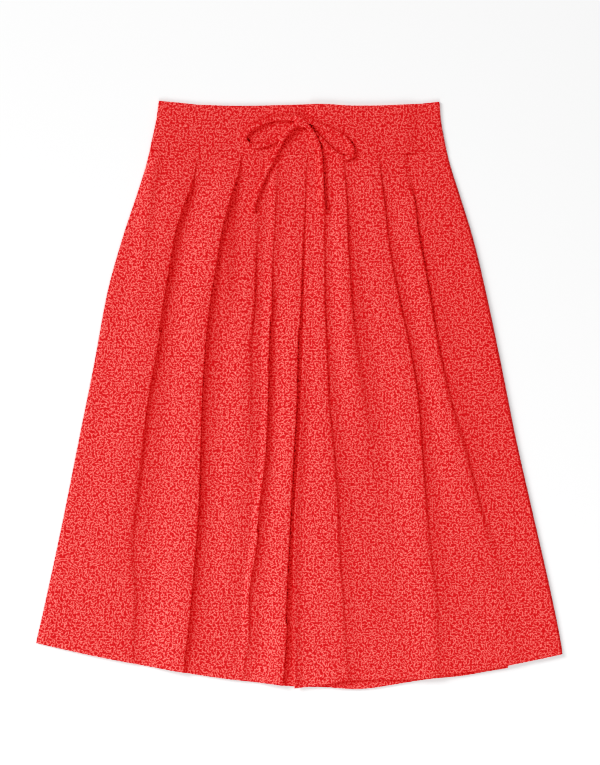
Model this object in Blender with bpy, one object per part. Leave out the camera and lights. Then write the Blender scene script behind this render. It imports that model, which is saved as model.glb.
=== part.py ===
"""A flared wrap skirt with a bow, laid flat on its back.

+X is to the viewer's right, +Y runs from the hem to the waist and +Z is up. The back lies on z = 0,
and the origin is under the middle of the outline. The tables are in millimetres and the scene is in
metres.
"""

import math

import bmesh
import bpy
import numpy as np

MM = 0.001

# Driving dimensions, in millimetres
LENGTH = 741.0  # from the top corners of the waistband to the lowest point of the hem
BAND_DEPTH = 61.0  # from the top edge to the waist seam
CLOTH = 1.2  # wall of a panel
BAND_CLOTH = 1.5  # wall of a waistband, which is doubled cloth
GAP = 0.3  # between pieces that touch or are sewn together
FOLDED_LAYER = 1.6  # from the middle of one layer of a tucked fold to the middle of the next
BACK_TUCK = 4.0  # how far the back's hem stays above the front's
TIE_WIDTH = 5.6
TIE_THICKNESS = 2.6
KNOT_SIZE = (19.0, 12.0, 7.6)
KNOT_CENTRE = (2.1, 344.0)
BAND_STEP_START = 3.0  # past the under wrap's band end, where the over wrap's band starts to come down
BAND_STEP_WIDTH = 22.0  # over which it comes down

# Middle height of each layer's cloth where it lies flat
BACK_MIDDLE = CLOTH / 2
UNDER_MIDDLE = BACK_MIDDLE + CLOTH + GAP
OVER_MIDDLE = UNDER_MIDDLE + CLOTH + GAP
BACK_BAND_MIDDLE = BAND_CLOTH / 2
UNDER_BAND_MIDDLE = BACK_BAND_MIDDLE + BAND_CLOTH + GAP
OVER_BAND_MIDDLE = UNDER_BAND_MIDDLE + BAND_CLOTH + GAP

# Where each panel has its sections, from the seam (0) to the hem (1): closer where the folds change fastest
SECTIONS = (0, 0.03, 0.07, 0.11, 0.15, 0.2, 0.26, 0.33, 0.41, 0.5, 0.59, 0.68, 0.77, 0.86, 0.93, 0.97, 1)
PANEL_STEPS = (0.25, 0.5, 0.75)  # where a panel has points between one fold and the next
BAND_SECTIONS = (0, 0.5, 1)
BAND_STEPS = 16
UNDER_FREE_STEPS = 16  # points past the last fold
OVER_FREE_STEPS = 5
SIDE_PASSES = 6  # to find where a section meets the side of the outline
KNOT_SEGMENTS = 20
KNOT_RINGS = 10
SHARP_EDGE = math.radians(40)  # faces that meet at more than this are shaded as an edge

# Half outline of the skirt: how far each side is from the middle, at a distance down from the top
SIDES = (
    # down   left    right
    (0, -176.7, 176.1),
    (20, -179.3, 177.4),
    (50, -185.6, 182.5),
    (82, -193.3, 190.1),
    (113, -203.0, 199.9),
    (175, -223.4, 219.0),
    (238, -241.0, 234.2),
    (333, -258.8, 254.2),
    (427, -277.7, 273.0),
    (522, -296.6, 294.5),
    (616, -316.6, 315.9),
    (679, -330.8, 328.7),
    (697, -335.0, 331.7),
)

# Top edge of the waistband: it dips on each side of the middle
TOP_EDGE = (
    # x      down
    (-176.7, 0.0),
    (-150, 2.5),
    (-125, 5.0),
    (-75, 6.3),
    (0, 4.8),
    (26, 4.0),
    (70, 6.2),
    (102, 6.0),
    (127, 5.0),
    (152, 3.8),
    (176.1, 1.2),
)

# Hem of the under wrap, from the left side to its free edge
UNDER_HEM = (
    # x      down
    (-331.7, 683.0),
    (-270, 696.8),
    (-213, 708.0),
    (-157, 718.0),
    (-100, 727.0),
    (-43, 733.5),
    (-5, 737.5),
    (32, 738.5),
    (51, 739.8),
    (70, 741.0),
    (89, 739.8),
    (108, 737.0),
    (165, 728.0),
    (202, 724.5),
    (240, 718.0),
    (263, 714.4),
)

# Hem of the over wrap, from its free corner to the right side
OVER_HEM = (
    # x      down
    (-6, 739.8),
    (17, 737.2),
    (39, 733.3),
    (58, 730.0),
    (89, 729.0),
    (127, 728.6),
    (165, 726.4),
    (202, 720.5),
    (228, 717.0),
    (260, 711.6),
    (297, 704.3),
    (331.7, 696.8),
)

# The folds, from the viewer's left. Each table has a column for each of these shares of the way from the
# seam to the hem.
COLUMNS = (0, 0.08, 0.25, 0.5, 0.75, 1)

# Where the crest of each fold runs, in x
CREST = {
    # fold            seam     hip      upper    middle   lower    hem
    "outer_left": (-124.5, -141.5, -167.4, -192.5, -211.5, -210.5),
    "left": (-74.0, -85.0, -109.0, -122.7, -129.6, -147.3),
    "inner_left_soft": (-42.0, -50.0, -58.0, -65.0, -73.0, -82.0),
    "inner_left": (-27.5, -30.6, -35.8, -40.8, -56.6, -66.5),
    "centre": (8.3, 5.8, 0.8, -4.3, -13.7, -22.5),
    "inner_right": (30.4, 30.4, 31.6, 37.3, 49.3, 60.6),
    "inner_right_short": (53.0, 58.0, 63.0, 83.5, 107.0, 128.5),
    "right": (97.8, 104.0, 121.0, 150.0, 162.7, 174.0),
    "outer_right": (132.4, 142.5, 160.2, 191.7, 238.3, 267.0),
}

# How high each crest stands over the cloth to its right
RISE = {
    # fold            seam hip  upper middle lower hem
    "outer_left": (0.8, 4.0, 5.0, 4.5, 2.6, 1.6),
    "left": (1.0, 4.6, 5.6, 5.6, 5.4, 4.8),
    "inner_left_soft": (0.0, 0.5, 2.0, 1.4, 0.2, 0.0),
    "inner_left": (0.6, 2.2, 4.6, 4.8, 3.8, 1.4),
    "centre": (0.8, 3.0, 4.4, 5.0, 5.0, 4.0),
    "inner_right": (0.5, 2.6, 3.4, 3.4, 3.0, 1.4),
    "inner_right_short": (0.8, 3.2, 3.6, 2.2, 0.2, 0.0),
    "right": (0.8, 3.2, 4.0, 4.2, 3.0, 1.4),
    "outer_right": (0.4, 2.0, 3.6, 3.4, 2.2, 0.3),
}

# How far each fold tucks back under its crest, or below 0 how wide its open slope is
TUCK = {
    # fold            seam hip  upper middle lower hem
    "outer_left": (-3, 4, 5, 2, -8, -10),
    "left": (-3, 6, 7, 6, 5, 4),
    "inner_left_soft": (-8, -6, -6, -8, -10, -10),
    "inner_left": (-3, -2, 4, 4, 2, -8),
    "centre": (-3, 1, 2, 3, 3, 1),
    "inner_right": (-3, -2, 1, -2, -4, -8),
    "inner_right_short": (-3, 2, 2, -6, -12, -12),
    "right": (-3, 2, 3, 2, -4, -8),
    "outer_right": (-3, -1, 1, 0, -3, -8),
}
LEAST_TUCKED_RISE = 3.2  # a lower fold can't hold three layers, so it stays open
TUCK_GROWTH = 0.8  # a fold this much higher than that has its whole tuck
TURN_SHARE = 0.3  # of a low fold's drop that each of its two turns takes
SLOPE_SHOULDER = 0.3  # of an open slope's width that each of its two rounded ends takes
FOLD_CLEARANCE = 1.0  # flat cloth past a fold, before the panel rises again
SHARPEST_MITRE = 0.5  # keeps the wall from growing thick at a tight turn

# Free edges of the two fronts, in x. The over wrap's lies just right of the centre fold, and the under
# wrap's is hidden under the over wrap's last fold.
OVER_FREE_EDGE = (13.5, 11.5, 6.5, 1.5, -7.3, -6.0)
UNDER_FREE_EDGE = (129.4, 139.5, 157.2, 188.7, 235.0, 263.0)

UNDER_FOLDS = ("outer_left", "left", "inner_left_soft", "inner_left", "centre")
OVER_FOLDS = ("inner_right", "inner_right_short", "right", "outer_right")

# The ties' routes, as (x, y, z) of the middle of the tie, from the knot outwards. A tail passes over its
# loop's lower strand.
TIE_ROUTES = {
    "left_tie_loop": (
        (-8.4, 347.6, 6.4),
        (-18.0, 348.4, 5.4),
        (-30.6, 347.6, 4.9),
        (-40.0, 345.4, 4.9),
        (-49.5, 341.6, 4.9),
        (-58.5, 336.6, 4.9),
        (-65.5, 330.6, 4.9),
        (-68.6, 323.8, 4.9),
        (-66.3, 317.6, 4.9),
        (-60.6, 314.2, 4.9),
        (-52.5, 313.2, 4.9),
        (-43.2, 315.2, 4.9),
        (-30.6, 320.4, 4.9),
        (-18.5, 327.6, 4.9),
        (-9.0, 336.2, 4.9),
    ),
    "left_tie_tail": (
        (-7.6, 339.4, 8.2),
        (-12.0, 334.0, 8.2),
        (-20.5, 322.6, 7.9),
        (-26.0, 311.8, 5.9),
        (-30.6, 302.4, 5.0),
        (-37.0, 289.8, 4.8),
        (-43.2, 277.2, 4.7),
        (-48.6, 264.6, 4.7),
        (-53.3, 252.0, 4.8),
        (-56.6, 240.4, 5.0),
        (-58.3, 230.6, 5.1),
    ),
    "right_tie_loop": (
        (13.6, 343.6, 7.0),
        (20.0, 341.6, 6.8),
        (29.0, 338.2, 6.7),
        (42.5, 332.4, 6.7),
        (53.0, 326.6, 6.7),
        (61.5, 319.2, 6.7),
        (66.6, 310.8, 6.7),
        (66.4, 303.2, 6.7),
        (60.6, 298.6, 6.7),
        (53.0, 299.6, 6.9),
        (45.6, 304.4, 6.8),
        (38.0, 311.2, 6.7),
        (24.4, 325.0, 6.7),
        (14.6, 335.2, 6.7),
    ),
    "right_tie_tail": (
        (8.6, 339.0, 9.8),
        (13.0, 334.4, 9.8),
        (17.0, 329.4, 9.8),
        (21.4, 321.6, 9.4),
        (24.4, 314.0, 7.6),
        (26.2, 305.0, 6.8),
        (27.2, 296.0, 6.9),
        (27.8, 285.0, 7.3),
        (28.4, 270.9, 7.8),
        (28.8, 258.0, 8.2),
        (29.4, 245.7, 8.5),
        (30.4, 231.8, 8.6),
    ),
}
TIE_POINT_SPACING = 9.0
TIE_FINE_STEPS = 12

RED = (0.78, 0.05, 0.045)


def monotone_curve(xs, ys):
    """A smooth curve through the points with no overshoot between them, as a function of x."""
    xs = np.array(xs, float)
    ys = np.array(ys, float)
    step = np.diff(xs)
    slope = np.diff(ys) / step
    tangent = np.zeros(len(xs))
    for i in range(1, len(xs) - 1):
        if slope[i - 1] * slope[i] > 0:
            before = 2 * step[i] + step[i - 1]
            after = step[i] + 2 * step[i - 1]
            tangent[i] = (before + after) / (before / slope[i - 1] + after / slope[i])
    tangent[0] = slope[0]
    tangent[-1] = slope[-1]

    def value(x):
        x = min(max(x, xs[0]), xs[-1])
        i = min(int(np.searchsorted(xs, x, side="right")) - 1, len(step) - 1)
        s = (x - xs[i]) / step[i]
        rest = 1 - s
        return float(
            ys[i] * (1 + 2 * s) * rest**2
            + tangent[i] * step[i] * s * rest**2
            + ys[i + 1] * s**2 * (3 - 2 * s)
            - tangent[i + 1] * step[i] * s**2 * rest
        )

    return value


def column_curve(values):
    return monotone_curve(COLUMNS, values)


LEFT_SIDE = monotone_curve([row[0] for row in SIDES], [row[1] for row in SIDES])
RIGHT_SIDE = monotone_curve([row[0] for row in SIDES], [row[2] for row in SIDES])
TOP = monotone_curve(*zip(*TOP_EDGE))
UNDER_HEM_LINE = monotone_curve(*zip(*UNDER_HEM))
OVER_HEM_LINE = monotone_curve(*zip(*OVER_HEM))
CREST_LINES = {name: column_curve(row) for name, row in CREST.items()}
RISES = {name: column_curve(row) for name, row in RISE.items()}
TUCKS = {name: column_curve(row) for name, row in TUCK.items()}
OVER_EDGE_LINE = column_curve(OVER_FREE_EDGE)
UNDER_EDGE_LINE = column_curve(UNDER_FREE_EDGE)


def seam(x):
    """How far down the waist seam is."""
    return TOP(x) + BAND_DEPTH


def panel_down(x, share, hem):
    """How far down a point of a panel is, at a share of the way from the seam to the hem."""
    top = seam(x) + GAP / 2
    return top + share * (hem(x) - top)


def side_x(side, share, hem):
    """Where a section meets the side of the outline."""
    x = side(0)
    for _ in range(SIDE_PASSES):
        x = side(panel_down(x, share, hem))
    return x


def fold_points(name, share, left_level, right_level):
    """The folded stretch of a section: crest, turn, turn and foot, as (x, z).

    It also gives the x from which the next stretch of cloth rises.
    """
    crest = CREST_LINES[name](share)
    rise = RISES[name](share)
    tuck = TUCKS[name](share)
    drop = rise + left_level - right_level
    room = min(max((drop - LEAST_TUCKED_RISE) / TUCK_GROWTH, 0), 1)
    under = max(tuck, 0) * room
    slope = max(-tuck, LEAST_TUCKED_RISE - drop, 0)
    turn = min(FOLDED_LAYER, TURN_SHARE * drop)
    shoulder = SLOPE_SHOULDER * slope
    top = left_level + rise
    foot = crest - under + slope
    points = [
        (crest, top),
        (crest + shoulder, top - turn),
        (foot - shoulder, right_level + turn),
        (foot, right_level),
    ]
    return points, max(crest, foot) + FOLD_CLEARANCE


def section(start, end, folds, levels, share, free_steps):
    """The middle of a panel's cloth across the skirt, as (x, z).

    levels has the resting height left of each fold and after the last one.
    """
    points = [(start, levels[0])]
    last = start
    for i, name in enumerate(folds):
        folded, after = fold_points(name, share, levels[i], levels[i + 1])
        crest, top = folded[0]
        for s in PANEL_STEPS:
            rise = (top - levels[i]) * math.sin(math.pi / 2 * s)
            points.append((last + s * (crest - last), levels[i] + rise))
        points += folded
        points.append((after, levels[i + 1]))
        last = after
    for k in range(1, free_steps + 1):
        points.append((last + (end - last) * k / free_steps, levels[-1]))
    return points


def edge_normals(points):
    """Outward unit normals of an open line's corners, lengthened so that both neighbours move by 1."""
    line = np.array(points)
    along = np.diff(line, axis=0)
    along /= np.linalg.norm(along, axis=1)[:, None]
    across = np.stack([-along[:, 1], along[:, 0]], axis=1)
    before = np.vstack([across[:1], across])
    after = np.vstack([across, across[-1:]])
    both = before + after
    both /= np.linalg.norm(both, axis=1)[:, None]
    return both / np.maximum((both * before).sum(axis=1), SHARPEST_MITRE)[:, None]


def material(name, colour=RED, roughness=0.9):
    made = bpy.data.materials.new(name)
    made.use_nodes = True
    shader = made.node_tree.nodes["Principled BSDF"]
    shader.inputs["Base Color"].default_value = (*colour, 1)
    shader.inputs["Roughness"].default_value = roughness
    shader.inputs["Metallic"].default_value = 0
    made.diffuse_color = (*colour, 1)
    return made


def new_object(name, data):
    made = bpy.data.objects.new(name, data)
    made.data.materials.append(material(f"{name}_cloth"))
    bpy.context.scene.collection.objects.link(made)
    return made


def to_scene(x, down, z):
    """A place on the skirt, in metres."""
    return x * MM, (LENGTH / 2 - down) * MM, z * MM


def add_wall(name, rows, thickness):
    """A closed wall of even thickness round the sheet that the rows of (x, down, z) describe."""
    upper = []
    lower = []
    for row in rows:
        normals = edge_normals([(x, z) for x, _, z in row])
        above = []
        below = []
        for (x, down, z), (nx, nz) in zip(row, normals):
            half = thickness / 2
            above.append(to_scene(x + nx * half, down, z + nz * half))
            below.append(to_scene(x - nx * half, down, z - nz * half))
        upper.append(above)
        lower.append(below)
    bm = bmesh.new()
    top = [[bm.verts.new(place) for place in row] for row in upper]
    bottom = [[bm.verts.new(place) for place in row] for row in lower]
    for i in range(len(rows) - 1):
        for k in range(len(rows[0]) - 1):
            bm.faces.new((top[i + 1][k], top[i + 1][k + 1], top[i][k]))
            bm.faces.new((top[i + 1][k + 1], top[i][k + 1], top[i][k]))
            bm.faces.new((bottom[i][k], bottom[i + 1][k + 1], bottom[i + 1][k]))
            bm.faces.new((bottom[i][k], bottom[i][k + 1], bottom[i + 1][k + 1]))
    for i in range(len(rows) - 1):
        for k, flip in ((0, False), (-1, True)):
            rim = (top[i][k], bottom[i][k], bottom[i + 1][k], top[i + 1][k])
            bm.faces.new(rim[::-1] if flip else rim)
    for k in range(len(rows[0]) - 1):
        for i, flip in ((0, True), (-1, False)):
            rim = (top[i][k], bottom[i][k], bottom[i][k + 1], top[i][k + 1])
            bm.faces.new(rim[::-1] if flip else rim)
    bmesh.ops.recalc_face_normals(bm, faces=bm.faces)
    mesh = bpy.data.meshes.new(name)
    bm.to_mesh(mesh)
    bm.free()
    mesh.shade_smooth()
    mesh.set_sharp_from_angle(angle=SHARP_EDGE)
    return new_object(name, mesh)


def add_panel(name, hem, line_at):
    """A skirt panel, whose line_at(share) gives its section as (x, z)."""
    rows = []
    for share in SECTIONS:
        rows.append([(x, panel_down(x, share, hem), z) for x, z in line_at(share)])
    return add_wall(name, rows, CLOTH)


def under_line(share):
    start = side_x(LEFT_SIDE, share, UNDER_HEM_LINE)
    end = UNDER_EDGE_LINE(share)
    levels = [UNDER_MIDDLE] * (len(UNDER_FOLDS) + 1)
    return section(start, end, UNDER_FOLDS, levels, share, UNDER_FREE_STEPS)


def over_line(share):
    start = OVER_EDGE_LINE(share)
    end = side_x(RIGHT_SIDE, share, OVER_HEM_LINE)
    levels = [OVER_MIDDLE] * len(OVER_FOLDS) + [UNDER_MIDDLE]
    return section(start, end, OVER_FOLDS, levels, share, OVER_FREE_STEPS)


def back_hem(x):
    """The back's hem stays just above the fronts'."""
    front = UNDER_HEM_LINE(x)
    if x > UNDER_HEM[-1][0]:
        front = OVER_HEM_LINE(x)
    return front - BACK_TUCK


def flat_line(start, end, steps, height):
    return [(start + (end - start) * k / steps, height) for k in range(steps + 1)]


def back_line(share):
    start = side_x(LEFT_SIDE, share, back_hem)
    end = side_x(RIGHT_SIDE, share, back_hem)
    return flat_line(start, end, BAND_STEPS, BACK_MIDDLE)


def add_band(name, start_at, end_at, height):
    """A waistband piece between two ends, which depend on the share of its depth.

    height(x) is the middle of its cloth.
    """
    rows = []
    for share in BAND_SECTIONS:
        row = []
        for k in range(BAND_STEPS + 1):
            x = start_at(share) + (end_at(share) - start_at(share)) * k / BAND_STEPS
            bottom = seam(x) - GAP / 2
            row.append((x, TOP(x) + share * (bottom - TOP(x)), height(x)))
        rows.append(row)
    return add_wall(name, rows, BAND_CLOTH)


def band_left(share):
    return LEFT_SIDE(share * BAND_DEPTH)


def band_right(share):
    return RIGHT_SIDE(share * BAND_DEPTH)


def over_band_height(x):
    """The over wrap's band comes down to the back band where the under wrap's band ends."""
    start = UNDER_FREE_EDGE[0] + BAND_STEP_START
    s = min(max((x - start) / BAND_STEP_WIDTH, 0), 1)
    blend = s * s * (3 - 2 * s)
    return OVER_BAND_MIDDLE + blend * (UNDER_BAND_MIDDLE - OVER_BAND_MIDDLE)


def smooth_route(points, spacing):
    """Points at an even spacing along a smooth curve through the route's own points."""
    known = np.array(points, float)
    padded = np.vstack([2 * known[0] - known[1], known, 2 * known[-1] - known[-2]])
    fine = []
    for i in range(1, len(padded) - 2):
        a, b, c, d = padded[i - 1 : i + 3]
        bend = 2 * a - 5 * b + 4 * c - d
        twist = 3 * b - a - 3 * c + d
        for k in range(TIE_FINE_STEPS):
            s = k / TIE_FINE_STEPS
            fine.append(b + ((c - a) * s + bend * s**2 + twist * s**3) / 2)
    fine = np.array([*fine, known[-1]])
    runs = np.linalg.norm(np.diff(fine, axis=0), axis=1)
    length = np.concatenate([[0], np.cumsum(runs)])
    places = np.linspace(0, length[-1], max(2, round(length[-1] / spacing) + 1))
    return np.stack([np.interp(places, length, fine[:, axis]) for axis in range(3)], axis=1)


def add_tie(name):
    """A flat narrow tie: a rounded strip that lies on its broad side along its route."""
    points = smooth_route(TIE_ROUTES[name], TIE_POINT_SPACING)
    curve = bpy.data.curves.new(name, "CURVE")
    curve.dimensions = "3D"
    curve.twist_mode = "Z_UP"
    curve.bevel_depth = TIE_THICKNESS / 2 * MM
    curve.extrude = (TIE_WIDTH - TIE_THICKNESS) / 2 * MM
    curve.bevel_resolution = 2
    curve.use_fill_caps = True
    spline = curve.splines.new("POLY")
    spline.points.add(len(points) - 1)
    for point, place in zip(spline.points, points):
        point.co = (*(place * MM), 1)
        point.tilt = math.pi / 2
    return new_object(name, curve)


def add_knot():
    """The knot is a small flattened lump on the under wrap's waistband."""
    bm = bmesh.new()
    bmesh.ops.create_uvsphere(bm, u_segments=KNOT_SEGMENTS, v_segments=KNOT_RINGS, radius=0.5)
    rest = UNDER_BAND_MIDDLE + BAND_CLOTH / 2 + GAP
    for vert in bm.verts:
        vert.co.x = (vert.co.x * KNOT_SIZE[0] + KNOT_CENTRE[0]) * MM
        vert.co.y = (vert.co.y * KNOT_SIZE[1] + KNOT_CENTRE[1]) * MM
        vert.co.z = ((vert.co.z + 0.5) * KNOT_SIZE[2] + rest) * MM
    mesh = bpy.data.meshes.new("bow_knot")
    bm.to_mesh(mesh)
    bm.free()
    mesh.shade_smooth()
    return new_object("bow_knot", mesh)


def clear_scene():
    for thing in list(bpy.data.objects):
        bpy.data.objects.remove(thing, do_unlink=True)


def main():
    clear_scene()

    add_panel("back_panel", back_hem, back_line)
    add_panel("under_wrap_panel", UNDER_HEM_LINE, under_line)
    add_panel("over_wrap_panel", OVER_HEM_LINE, over_line)

    def under_band_end(_):
        return UNDER_FREE_EDGE[0]

    def over_band_end(_):
        return OVER_FREE_EDGE[0]

    add_band("back_waistband", band_left, band_right, lambda x: BACK_BAND_MIDDLE)
    add_band("under_wrap_waistband", band_left, under_band_end, lambda x: UNDER_BAND_MIDDLE)
    add_band("over_wrap_waistband", over_band_end, band_right, over_band_height)

    for name in TIE_ROUTES:
        add_tie(name)
    add_knot()


main()
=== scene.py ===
"""A flared wrap skirt with a bow, laid flat on its back and seen from straight above.

The skirt's tables are in millimetres: x runs to the viewer's right, "down" from the top corners of
the waistband towards the hem, and z up out of the floor. place() turns them into the frame's metres.
"""

import math

import bmesh
import bpy
import numpy as np
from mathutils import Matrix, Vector
from mathutils.bvhtree import BVHTree


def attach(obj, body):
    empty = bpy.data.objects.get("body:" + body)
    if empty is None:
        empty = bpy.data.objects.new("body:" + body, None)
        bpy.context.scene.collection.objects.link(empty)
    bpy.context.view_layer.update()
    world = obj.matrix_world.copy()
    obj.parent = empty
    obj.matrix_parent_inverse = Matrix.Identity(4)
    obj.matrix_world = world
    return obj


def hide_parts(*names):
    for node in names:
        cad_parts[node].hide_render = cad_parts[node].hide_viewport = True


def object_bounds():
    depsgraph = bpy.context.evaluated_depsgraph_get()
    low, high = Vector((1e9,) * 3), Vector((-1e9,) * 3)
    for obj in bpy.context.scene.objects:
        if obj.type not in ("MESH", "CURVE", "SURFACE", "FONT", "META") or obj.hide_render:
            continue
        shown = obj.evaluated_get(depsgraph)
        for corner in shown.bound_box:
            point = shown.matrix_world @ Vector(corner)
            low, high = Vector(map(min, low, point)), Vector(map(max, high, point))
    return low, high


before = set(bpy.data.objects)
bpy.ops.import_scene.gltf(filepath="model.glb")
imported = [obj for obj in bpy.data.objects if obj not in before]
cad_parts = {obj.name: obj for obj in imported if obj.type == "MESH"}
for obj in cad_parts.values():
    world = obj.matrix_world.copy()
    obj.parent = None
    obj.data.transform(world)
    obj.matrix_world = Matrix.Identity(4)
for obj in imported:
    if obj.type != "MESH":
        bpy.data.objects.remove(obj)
cad_low, cad_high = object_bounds()

MM = 0.001
TOP_Y = cad_high.y / MM  # where "down" is 0

# The skirt's sizes, as in its solids
BAND_DEPTH = 61.0
GAP = 0.3
SOLID_CLOTH = 1.2
SOLID_BAND = 1.5
BACK_TUCK = 4.0

# Middle height of each layer where it lies flat
BACK_MIDDLE = SOLID_CLOTH / 2
UNDER_MIDDLE = BACK_MIDDLE + SOLID_CLOTH + GAP
OVER_MIDDLE = UNDER_MIDDLE + SOLID_CLOTH + GAP
BACK_BAND_MIDDLE = SOLID_BAND / 2
UNDER_BAND_MIDDLE = BACK_BAND_MIDDLE + SOLID_BAND + GAP
OVER_BAND_MIDDLE = UNDER_BAND_MIDDLE + SOLID_BAND + GAP

# The cloth as it shows
CLOTH = 0.7
BAND_CLOTH = 1.3
SEAM_OVERLAP = 0.5  # how far a waistband's lower edge lies over the panel
SEWN_GAP = 0.05  # between two cloths where they are sewn together
LEFT_SIDE_CURVE = 8.0  # how far from each side seam the front starts to curve down to the back
RIGHT_SIDE_CURVE = 2.0
HEM_STITCH = 9.0  # from an edge to its row of stitches
STITCH_LENGTH = 2.1
STITCH_PITCH = 3.0
STITCH_THREAD = 0.34

# The finer grid of the cloth
PANEL_ROWS = 150
BAND_ROWS = 26
FOLD_STEPS = 14
RISE_STEPS = 16
FREE_COLUMNS = 56
BACK_COLUMNS = 200
BAND_COLUMNS = 150
RIM_STEPS = 3
ROUTE_STEPS = 12
SIDE_ROUNDS = 8  # how often a row's crossing with a side, or with a fold's line, is worked out again
LINE_ROUNDS = 4

# How far each side is from the middle, at a distance down
SIDES = (
    # down   left    right
    (0, -176.7, 176.1),
    (20, -179.3, 177.4),
    (50, -185.6, 182.5),
    (82, -193.3, 190.1),
    (113, -203.0, 199.9),
    (175, -223.4, 219.0),
    (238, -241.0, 234.2),
    (333, -258.8, 254.2),
    (427, -277.7, 273.0),
    (522, -296.6, 294.5),
    (616, -316.6, 315.9),
    (679, -330.8, 328.7),
    (697, -335.0, 331.7),
)

# Top edge of the waistband, and the hems of the two fronts, as (x, down)
TOP_EDGE = (
    (-176.7, 0.0),
    (-150, 2.5),
    (-125, 5.0),
    (-75, 6.3),
    (0, 4.8),
    (26, 4.0),
    (70, 6.2),
    (102, 6.0),
    (127, 5.0),
    (152, 3.8),
    (176.1, 1.2),
)
UNDER_HEM = (
    (-331.7, 683.0),
    (-270, 696.8),
    (-213, 708.0),
    (-157, 718.0),
    (-100, 727.0),
    (-43, 733.5),
    (-5, 737.5),
    (32, 738.5),
    (51, 739.8),
    (70, 741.0),
    (89, 739.8),
    (108, 737.0),
    (165, 728.0),
    (202, 724.5),
    (240, 718.0),
    (263, 714.4),
)
OVER_HEM = (
    (-6, 739.8),
    (17, 737.2),
    (39, 733.3),
    (58, 730.0),
    (89, 729.0),
    (127, 728.6),
    (165, 726.4),
    (202, 720.5),
    (228, 717.0),
    (260, 711.6),
    (297, 704.3),
    (331.7, 696.8),
)

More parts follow.
